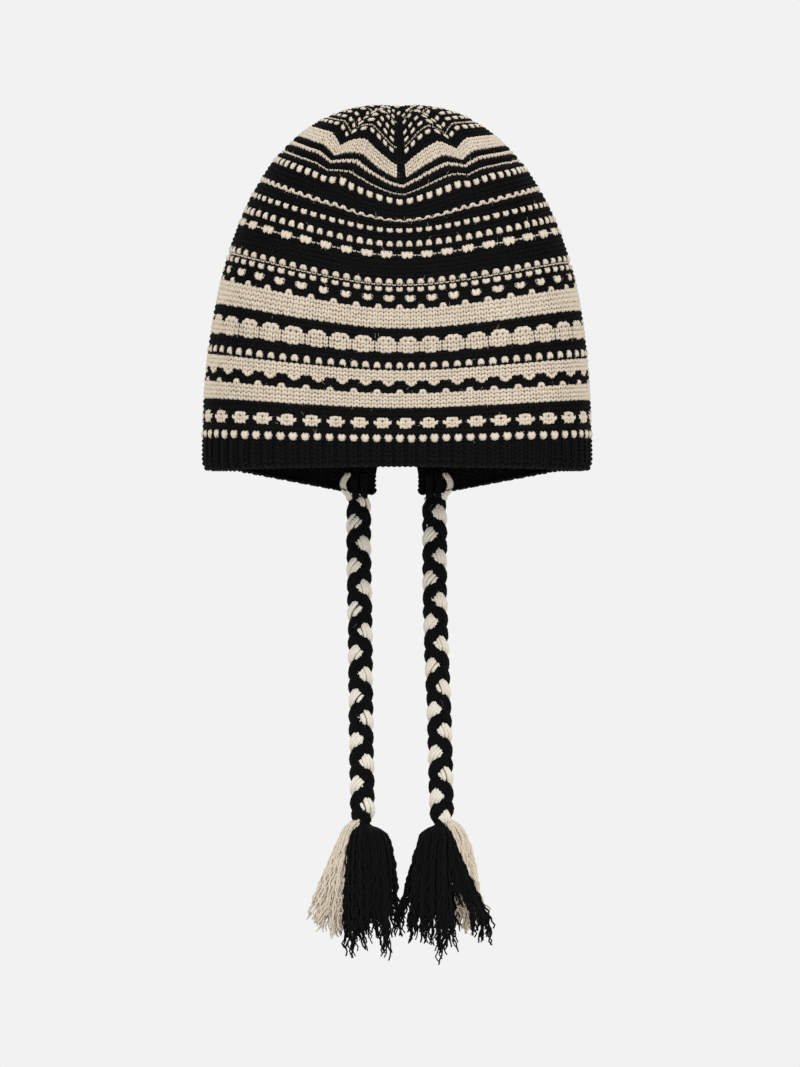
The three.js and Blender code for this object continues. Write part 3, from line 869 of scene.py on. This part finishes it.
def loose_fibres(centre, across, along, outward, inks):
    """Fine hairs that bow out of the knit's surface"""
    draws = np.random.default_rng(SEED + 5)
    count = bpy.context.scene.beanie_knit.fibres
    site = draws.integers(0, len(centre), count)
    root = centre[site] + outward[site] * FIBRE_ROOT
    root = root + across[site] * draws.uniform(-0.5, 0.5, (count, 1))
    root = root + along[site] * draws.uniform(-0.5, 0.5, (count, 1))
    turn = draws.uniform(0, 2 * math.pi, (count, 1))
    heading = unit(across[site]) * np.cos(turn) + unit(along[site]) * np.sin(turn)
    t = np.linspace(0, 1, 3)[:, None]
    reach = draws.uniform(*FIBRE_LENGTH, (count, 1, 1))
    rise = draws.uniform(*FIBRE_RISE, (count, 1, 1))
    bow = 1.6 * t - t * t
    paths = root[:, None] + heading[:, None] * reach * t + outward[site][:, None] * rise * bow
    radii = np.tile(FIBRE_RADII, (count, 1))
    gather = Gather(count, math.ceil(math.sqrt(count)))
    tubes(gather, paths, radii, 3, FIBRE_GUIDE, inks[site], draws.normal(*FIBRE_TONE, count))
    gather.make("loose_fibres", "crown")


def ground_inks():
    """Cream or black for each quad of the ground, under the stitches and, turned round, on the inside"""
    row, wale = np.meshgrid(np.arange(ROWS), np.arange(WALES), indexing="ij")
    left, middle, right = [chart_letters(row, wale + k) == "c" for k in (-1, 0, 1)]
    striped = np.array([letters == "cccc" for letters in CHART])[:, None]
    outside = striped | (left & middle & right & (row < FIRST_DECREASE))
    inside = chart_letters(row, wale + 2) != "k"
    return [outside.ravel(), inside.ravel()]


def knit_ground():
    """The closed shell under the crown's stitches, with the purl side of the knit inside it"""
    rings = ROWS + 1
    azimuth = rim_azimuths(np.arange(WALES) / WALES)
    row, azimuth = np.meshgrid(np.arange(float(rings)), azimuth, indexing="ij")
    purl = PURL_RELIEF * np.where((row + np.arange(WALES)) % 2 == 0, 1, -1)[..., None]
    row[-1] -= GROUND_HOLE
    angle = row_angle(row, azimuth)
    outer, inner, nearer = [crown_point(azimuth, angle, inset)
                            for inset in (GROUND_INSET, CROWN_WALL, CROWN_WALL - 1)]
    inner = inner + (nearer - inner) * purl
    points = np.concatenate([outer.reshape(-1, 3), inner.reshape(-1, 3),
                             outer[-1].mean(axis=0)[None], inner[-1].mean(axis=0)[None]])
    count = rings * WALES
    side = np.arange(WALES)
    following = (side + 1) % WALES
    top = count - WALES
    outside, places = ring_quads(rings, WALES)
    foot = np.stack([count + side, count + following, following, side], axis=1)
    lid = np.stack([top + side, top + following, np.full(WALES, 2 * count)], axis=1)
    ceiling = np.stack([top + following, top + side, np.full(WALES, count + 1)], axis=1) + count
    faces = {4: np.concatenate([outside, outside[:, ::-1] + count, foot]),
             3: np.concatenate([lid, ceiling])}
    places = places * (1 / WALES, HALF_MAP / rings)
    foot_places = places[:WALES] * (1, 0.5) + (0, FOOT_MAP)
    maps = {4: np.concatenate([places, places[:, ::-1] + (0, 0.5), foot_places]),
            3: np.full((2 * WALES, 3, 2), LID_MAP)}
    gather = Gather(1, 1)
    # The ground's low tone is painted shade, on its outside under the stitches and on its inside face
    gather.add(points[None], faces, maps, [0], [GROUND_PAINTED_SHADE])
    gather.inks[4] = ground_inks() + [np.zeros(WALES)]
    gather.make("knit_inside", "crown")


def band_top(azimuth):
    return BAND_TOP_FRONT + BAND_TOP_SIDE_RISE * np.sin(azimuth) ** 2


def rim_edge(azimuth):
    """Height of the rim's lower edge: nearly straight in front, two flaps and a notch behind"""
    point = shell(azimuth, np.zeros_like(azimuth), 0.0)
    x = np.abs(point[..., 0])
    front = RIM_LEVEL + FRONT_EDGE_ARCH * np.clip(1 - (x / HALF_WIDTH) ** 2, 0, 1)
    slope = np.clip((FLAP_OUTER_X - x) / (FLAP_OUTER_X - FLAP_CORNER_X), 0, 1)
    back = np.where(x < NOTCH_HALF_WIDTH, NOTCH_TOP, RIM_LEVEL - FLAP_DROP * slope)
    return np.where(point[..., 1] < 0, front, back)


def edge_curl(level, edge):
    """How far the rib draws in just above its cast-on edge"""
    return BAND_EDGE_CURL * np.clip(1 - (level - edge) / BAND_CURL_HEIGHT, 0, 1) ** 2


def band_shell(azimuth, level, inset, edge):
    """Points of the band at a level, drawn in near its edge"""
    point = shell(azimuth, level - RIM_LEVEL, inset + edge_curl(level, edge))
    point[:, 2] = level
    return point


def knit_band():
    """The 1x1 ribbed band: knit wales stand out, purl wales lie back, and inside they change places"""
    draws = np.random.default_rng(SEED + 1)
    leg_height = bpy.context.scene.beanie_knit.leg_height / MM
    azimuth = rim_azimuths((np.arange(WALES) + 0.5) / WALES)
    rim = shell(azimuth, np.zeros(WALES), 0.0)
    widths = np.linalg.norm(np.roll(rim, -1, axis=0) - np.roll(rim, 1, axis=0), axis=1) / 2
    top = band_top(azimuth)
    edge = rim_edge(azimuth)
    counts = np.maximum(4, np.round((top - edge) / RIB_ROW)).astype(int)
    wale = np.repeat(np.arange(WALES), counts)
    row = np.concatenate([np.arange(count) for count in counts])
    tall = (top - edge)[wale] / counts[wale]
    level = top[wale] - (row + 0.5) * tall
    gather = Gather(3 * len(wale) + WALES, RIB_MAP_COLUMNS)
    for face, raised in ((1, True), (1, False), (-1, True), (-1, False)):
        chosen = (wale % 2 == 0) == ((face > 0) == raised)
        some = int(chosen.sum())
        inset = RIB_INSET if raised else RIB_INSET + RIB_RELIEF
        inset = inset if face > 0 else BAND_WALL - inset
        centre, right, left = [
            band_shell(azimuth[wale[chosen]] + nudge, level[chosen], inset, edge[wale[chosen]])
            for nudge in (0.0, RIB_NUDGE, -RIB_NUDGE)]
        across = unit(right - left) * face
        upward = np.tile([0.0, 0.0, 1.0], (some, 1))
        outward = unit(np.cross(across, upward))
        across = across * widths[wale[chosen]][:, None]
        upward = upward * tall[chosen][:, None]
        high = leg_height * draws.normal(*RIB_PROUD, some)
        tones = draws.normal(*RIB_TONE, some)
        inks = np.zeros(some)
        if raised:
            for lean in (-1, 1):
                stamp_legs(gather, lean, centre, across * KNIT_LEG_WIDTH, upward, outward,
                           np.full(some, KNIT_LEG_THICKNESS), high, inks, tones)
        else:
            stamp_legs(gather, -1, centre + across * PURL_BAR_SHIFT, upward * -PURL_BAR_WIDTH,
                       across * PURL_BAR_LENGTH, outward, np.full(some, PURL_BAR_THICKNESS),
                       high * PURL_BAR_HEIGHT, inks, tones)
    cast_on_edge(gather, azimuth, edge, draws)
    gather.make("rib_stitches", "ribbed_band")
    band_ground(azimuth, top, edge)


def cast_on_edge(gather, azimuth, edge, draws):
    """The row of loops that lies along the band's lower edge"""
    point = shell(azimuth, edge - RIM_LEVEL, BAND_WALL / 2 + BAND_EDGE_CURL)
    point[:, 2] = edge + EDGE_LOOP_RISE
    ahead = np.roll(point, -1, axis=0) - np.roll(point, 1, axis=0)
    ahead[:, 2] = np.clip(ahead[:, 2], -EDGE_LOOP_STEEPEST, EDGE_LOOP_STEEPEST)
    down = np.tile([0.0, 0.0, -1.0], (WALES, 1))
    inward = unit(np.cross(down, unit(ahead)))
    stamp_legs(gather, -1, point, inward * EDGE_LOOP_WIDTH, ahead * EDGE_LOOP_LENGTH, down,
               np.full(WALES, EDGE_LOOP_THICKNESS), np.full(WALES, EDGE_LOOP_HEIGHT),
               np.zeros(WALES), draws.normal(*EDGE_TONE, WALES))


def band_ground(azimuth, top, edge):
    """The closed ring under the rib's stitches"""
    front = BAND_GROUND_INSET
    back = BAND_WALL - BAND_GROUND_INSET
    profile = [(front, 0.0), (front, 0.65), (front, 1.0), (back, 1.0), (back, 0.65), (back, 0.0)]
    rings = []
    for inset, share in profile:
        level = top + BAND_GROUND_RISE + (edge - top + BAND_GROUND_RISE) * share
        rings.append(band_shell(azimuth, level, inset, edge))
    quads, places = ring_quads(len(profile), WALES, closed=True)
    gather = Gather(1, 1)
    # The band's ground takes a low tone: painted shade where it lies under the rib's stitches
    gather.add(np.concatenate(rings)[None], {4: quads[:, ::-1]},
               {4: places[:, ::-1] / (WALES, len(profile))}, [0], [BAND_GROUND_PAINTED_SHADE])
    gather.make("rib_ground", "ribbed_band")


def braid(side, route):
    """A flat three-strand plait, two strands black and one cream, each of several yarns in a slow twist"""
    draws = np.random.default_rng(SEED + (2 if side == "left" else 3))
    lengths = lengths_along(route)
    end = lengths[-1]
    along = np.linspace(-BRAID_HEAD_TUCK, end + BRAID_END_TUCK, BRAID_STEPS)
    middle = np.stack([np.interp(along, lengths, route[:, k]) for k in range(3)], axis=1)
    middle[:, 2] = route[0, 2] - along * (route[0, 2] - route[-1, 2]) / end
    narrow = 1 - END_NARROWING * np.clip((along - end) / END_REACH + 1, 0, 1) ** 1.5
    narrow = narrow - HEAD_NARROWING * np.clip(1 - along / HEAD_REACH, 0, 1)
    paths = []
    inks = []
    for strand in range(3):
        phase = 2 * math.pi * (along / BRAID_PERIOD + strand / 3 + BRAID_START[side])
        centre = middle.copy()
        centre[:, 0] += BRAID_SWING * narrow * np.sin(phase)
        centre[:, 1] += BRAID_DEPTH * narrow * np.sin(2 * phase)
        first = unit(np.cross(unit(np.gradient(centre, axis=0)), [0.0, 1.0, 0.0]))
        second = np.cross(unit(np.gradient(centre, axis=0)), first)
        for yarn in range(YARNS_IN_STRAND):
            turn = yarn / YARNS_IN_STRAND + along / STRAND_TWIST
            turn = 2 * math.pi * turn + draws.normal(0, YARN_STRAY)
            offset = (first * (STRAND_HALF_WIDTH * np.cos(turn))[:, None]
                      + second * (STRAND_HALF_THICKNESS * np.sin(turn))[:, None])
            paths.append(centre + offset * narrow[:, None])
            inks.append(2 if strand == 0 else 0)
    count = len(paths)
    plies = 1 + PLY_RELIEF * np.sin(along * PLY_WAVE + draws.uniform(0, 6, (count, 1)))
    gather = Gather(count, count)
    tubes(gather, np.array(paths), YARN_RADIUS * narrow * plies, 6, (0, 1, 0), inks,
          draws.normal(*BRAID_TONE, count))
    return gather.make(f"braid_{side}", f"tie_{side}")


def tie_loops(side, route):
    """The three strands of a tie drawn through the flap and round its lower edge"""
    outer = -1 if side == "left" else 1
    centre_x = route[0][0]
    turn = math.pi - math.asin((abs(centre_x) / HALF_WIDTH) ** (PLAN_ROUNDNESS / 2))
    wall = float(shell(np.array([turn]), np.zeros(1), 0.0)[0, 1])
    middle = wall - BAND_WALL / 2
    foot = RIM_LEVEL - FLAP_DROP
    down = [(wall - BAND_WALL - LOOP_GAP + inward, foot + rise) for inward, rise in LOOP_SIDE]
    up = [(wall + LOOP_GAP - inward, foot + rise) for inward, rise in reversed(LOOP_SIDE)]
    head = [(middle, foot + LOOP_HEAD)]
    profile = np.array(head + down + [(middle, foot - LOOP_DROP)] + up + head)
    keys = np.linspace(0, 1, len(profile))
    t = np.linspace(0, 1, LOOP_STEPS)
    y, z = [np.interp(t, keys, column) for column in profile.T]
    bow = np.cos(math.pi / 2 * np.clip((z - foot - LOOP_BOW_LEVEL) / LOOP_BOW_REACH, -1, 1))
    paths = []
    inks = []
    for place, swell, ink in LOOP_STRANDS:
        for yarn in (-LOOP_YARN_APART, LOOP_YARN_APART):
            paths.append(np.stack([centre_x + outer * (place + yarn + swell * bow), y, z], axis=1))
            inks.append(ink)
    count = len(paths)
    gather = Gather(count, count)
    tubes(gather, np.array(paths), np.full((count, LOOP_STEPS), LOOP_YARN_RADIUS), 8, (1, 0, 0), inks,
          np.full(count, BRAID_TONE[0]))
    return gather.make(f"flap_loop_{side}", f"tie_loop_{side}")


def tassel(side, colour, route):
    """One colour of a tassel: wavy yarns in locks that leave the braid, swell and hang to wispy tips"""
    table = np.array(TASSEL_LOCKS[side, colour])
    draws = np.random.default_rng(SEED + 20 + 7 * (side == "left") + 3 * (colour == "black"))
    knit = bpy.context.scene.beanie_knit
    outward = -1.0 if side == "left" else 1.0
    share = np.linspace(0, 1, YARN_STEPS)[None] ** 1.25
    drift = draws.normal(0, LOCK_DRIFT, (len(table), 2))
    curl = draws.normal(0, LOCK_CURL, (len(table), 2))
    lock = np.repeat(np.arange(len(table)), knit.yarns_in_lock)
    count = len(lock)
    out, forward, drop, thick, dome = (column[:, None] for column in table[lock].T)
    drop = drop * draws.uniform(*YARN_DROP_SPREAD, (count, 1))
    down = share * (drop + YARN_TUCK) - YARN_TUCK
    below = np.maximum(down, 0)
    knot = 1 - np.exp(-np.maximum(down - KNOT_START[colour], 0) / KNOT_LENGTH)
    knot = KNOT_TIGHTNESS + (1 - KNOT_TIGHTNESS) * knot
    domed = HEAD_SHARE * knot + (1 - HEAD_SHARE) * (1 - np.exp(-below / DOME_LENGTH))
    hanging = np.minimum(below / STRAIGHT_LENGTH, STRAIGHT_MOST) ** STRAIGHT_BEND
    straight = STRAIGHT_HEAD * knot + (1 - STRAIGHT_HEAD) * hanging
    flare = dome * domed + (1 - dome) * straight
    turn = draws.uniform(0, 2 * math.pi, (count, 1))
    apart = np.sqrt(draws.uniform(0, 1, (count, 1))) * thick
    body = apart * knot * (1 - LOCK_TAPER * share ** 4)
    bend = np.clip((share - TIP_START) / (1 - TIP_START), 0, 1) ** 2
    stray = draws.normal(0, 1, (count, 2)) * YARN_STRAY_TIP
    wander = []
    for axis in range(2):
        wave = draws.uniform(*YARN_WAVE, (count, 1))
        phase = draws.uniform(0, 2 * math.pi, (count, 2))
        shake = np.sin(2 * math.pi * down / wave + phase[:, :1])
        shake = shake + 0.7 * np.sin(2 * math.pi * down / (wave * 0.53) + phase[:, 1:])
        shake = shake * (SHAKE_HEAD + SHAKE_GROWTH * share)
        slow = drift[lock, axis][:, None] * share ** 2 + curl[lock, axis][:, None] * bend
        wander.append(shake + slow + stray[:, axis][:, None] * (share ** 2 + bend))
    across = out * flare + body * np.cos(turn) + wander[0]
    ahead = forward * flare + body * np.sin(turn) * 0.8 + wander[1] * 0.7
    end = route[-1]
    paths = np.stack([end[0] + outward * across, end[1] - ahead, end[2] - down], axis=2)
    radii = knit.tassel_yarn / MM * draws.uniform(0.8, 1.2, (count, 1)) * (1 - 0.4 * share ** 4)
    gather = Gather(count, math.ceil(math.sqrt(count)))
    tubes(gather, paths, radii, 4, (0, 1, 0), np.full(count, 0 if colour == "black" else 1),
          draws.normal(*TASSEL_TONE, count))
    return gather.make(f"tassel_{colour}_{side}_yarns", f"tassel_{colour}_{side}")


def make_ties():
    """Both ties: the braid, its loops through the flap and its tassel"""
    for side, x in TIE_X.items():
        route = np.stack([x, TIE_Y, TIE_Z], axis=1)
        piece = braid(side, route)
        on_it = [tie_loops(side, route)]
        on_it += [tassel(side, colour, route) for colour in ("black", "cream")]


def paper(name):
    """Matte studio paper, smooth and bright; far from the object it glows as the room's air does"""
    material, tree = empty_material(name)
    place = add_node(tree, "ShaderNodeTexCoord")
    distance = add_node(tree, "ShaderNodeVectorMath", {"operation": "LENGTH"},
                        {0: place.outputs["Object"]})
    fade = add_node(tree, "ShaderNodeMapRange",
                    {"interpolation_type": "SMOOTHSTEP", 1: FLOOR_FADE[0], 2: FLOOR_FADE[1]},
                    {0: distance.outputs["Value"]})
    near = add_node(tree, "ShaderNodeBsdfDiffuse", {"Color": linear(FLOOR_COLOUR)})
    far = add_node(tree, "ShaderNodeEmission", {"Color": linear(AIR_COLOUR)})
    both = add_node(tree, "ShaderNodeMixShader", None,
                    {0: fade.outputs[0], 1: near.outputs[0], 2: far.outputs[0]})
    add_node(tree, "ShaderNodeOutputMaterial", None, {"Surface": both.outputs[0]})
    return material


def make_stage():
    """The camera straight in front, soft light all round and a plain pale floor"""
    scene = bpy.context.scene
    collection = bpy.context.collection
    low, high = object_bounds()
    target = Vector((AIM_X, 0.0, (low.z + high.z) / 2))
    camera_data = bpy.data.cameras.new("camera")
    camera_data.lens = camera_data.sensor_width * CAMERA_DISTANCE / PICTURE_HEIGHT
    camera_data.clip_end = 50.0
    camera = bpy.data.objects.new("camera", camera_data)
    camera.location = target + Vector((0.0, -CAMERA_DISTANCE, 0.0))
    camera.rotation_euler = (math.pi / 2, 0.0, 0.0)
    collection.objects.link(camera)
    scene.camera = camera
    for name, place, power, size in LIGHTS:
        data = bpy.data.lights.new(name, "AREA")
        data.energy = power
        data.size = size
        light = bpy.data.objects.new(name, data)
        light.location = place
        light.rotation_euler = (target - Vector(place)).to_track_quat("-Z", "Y").to_euler()
        collection.objects.link(light)
    world = bpy.data.worlds.new("studio_air")
    world.use_nodes = True
    background = world.node_tree.nodes["Background"]
    background.inputs["Color"].default_value = linear(AIR_COLOUR)
    scene.world = world
    scene.view_settings.view_transform = "Standard"
    mesh = bpy.data.meshes.new("floor")
    half = FLOOR_HALF_WIDTH
    corners = [(-half, -half, 0.0), (half, -half, 0.0), (half, half, 0.0), (-half, half, 0.0)]
    mesh.from_pydata(corners, [], [(0, 1, 2, 3)])
    mesh.materials.append(paper("matte_paper"))
    floor = bpy.data.objects.new("floor", mesh)
    floor.location.z = low.z - FLOOR_BELOW
    collection.objects.link(floor)
    floor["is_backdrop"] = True


class BEANIE_OT_stage(bpy.types.Operator):
    """Makes the camera, the lights and the floor"""

    bl_idname = "beanie.stage"
    bl_label = "Camera, Light and Floor"

    def execute(self, context):
        make_stage()
        return {"FINISHED"}


class BEANIE_OT_ties(bpy.types.Operator):
    """Makes the two braided ties with their loops and tassels"""

    bl_idname = "beanie.ties"
    bl_label = "Ties and Tassels"

    def execute(self, context):
        make_ties()
        return {"FINISHED"}


class BEANIE_OT_band(bpy.types.Operator):
    """Knits the ribbed band with its flaps"""

    bl_idname = "beanie.band"
    bl_label = "Ribbed Band"

    def execute(self, context):
        knit_band()
        return {"FINISHED"}


class BEANIE_OT_crown(bpy.types.Operator):
    """Knits the patterned crown"""

    bl_idname = "beanie.crown"
    bl_label = "Patterned Crown"

    def execute(self, context):
        knit_crown()
        return {"FINISHED"}


class BEANIE_PT_panel(bpy.types.Panel):
    """Lists the pieces of the beanie"""

    bl_label = "Beanie"
    bl_idname = "BEANIE_PT_panel"
    bl_space_type = "VIEW_3D"
    bl_region_type = "UI"
    bl_category = "Beanie"

    def draw(self, context):
        layout = self.layout
        for group in (context.scene.beanie_knit, context.scene.beanie_colours):
            for name in group.bl_rna.properties.keys():
                if name not in ("rna_type", "name"):
                    layout.prop(group, name)
        for operator in OPERATORS:
            layout.operator(operator.bl_idname)


OPERATORS = [BEANIE_OT_stage, BEANIE_OT_ties, BEANIE_OT_band, BEANIE_OT_crown]
CLASSES = [BeanieKnit, BeanieColours, *OPERATORS, BEANIE_PT_panel]


def register():
    for item in CLASSES:
        bpy.utils.register_class(item)
    bpy.types.Scene.beanie_knit = PointerProperty(type=BeanieKnit)
    bpy.types.Scene.beanie_colours = PointerProperty(type=BeanieColours)


def unregister():
    del bpy.types.Scene.beanie_colours
    del bpy.types.Scene.beanie_knit
    for item in reversed(CLASSES):
        bpy.utils.unregister_class(item)


def main():
    register()
    bpy.ops.beanie.stage()
    bpy.ops.beanie.ties()
    bpy.ops.beanie.band()
    bpy.ops.beanie.crown()


if __name__ == "__main__":
    main()
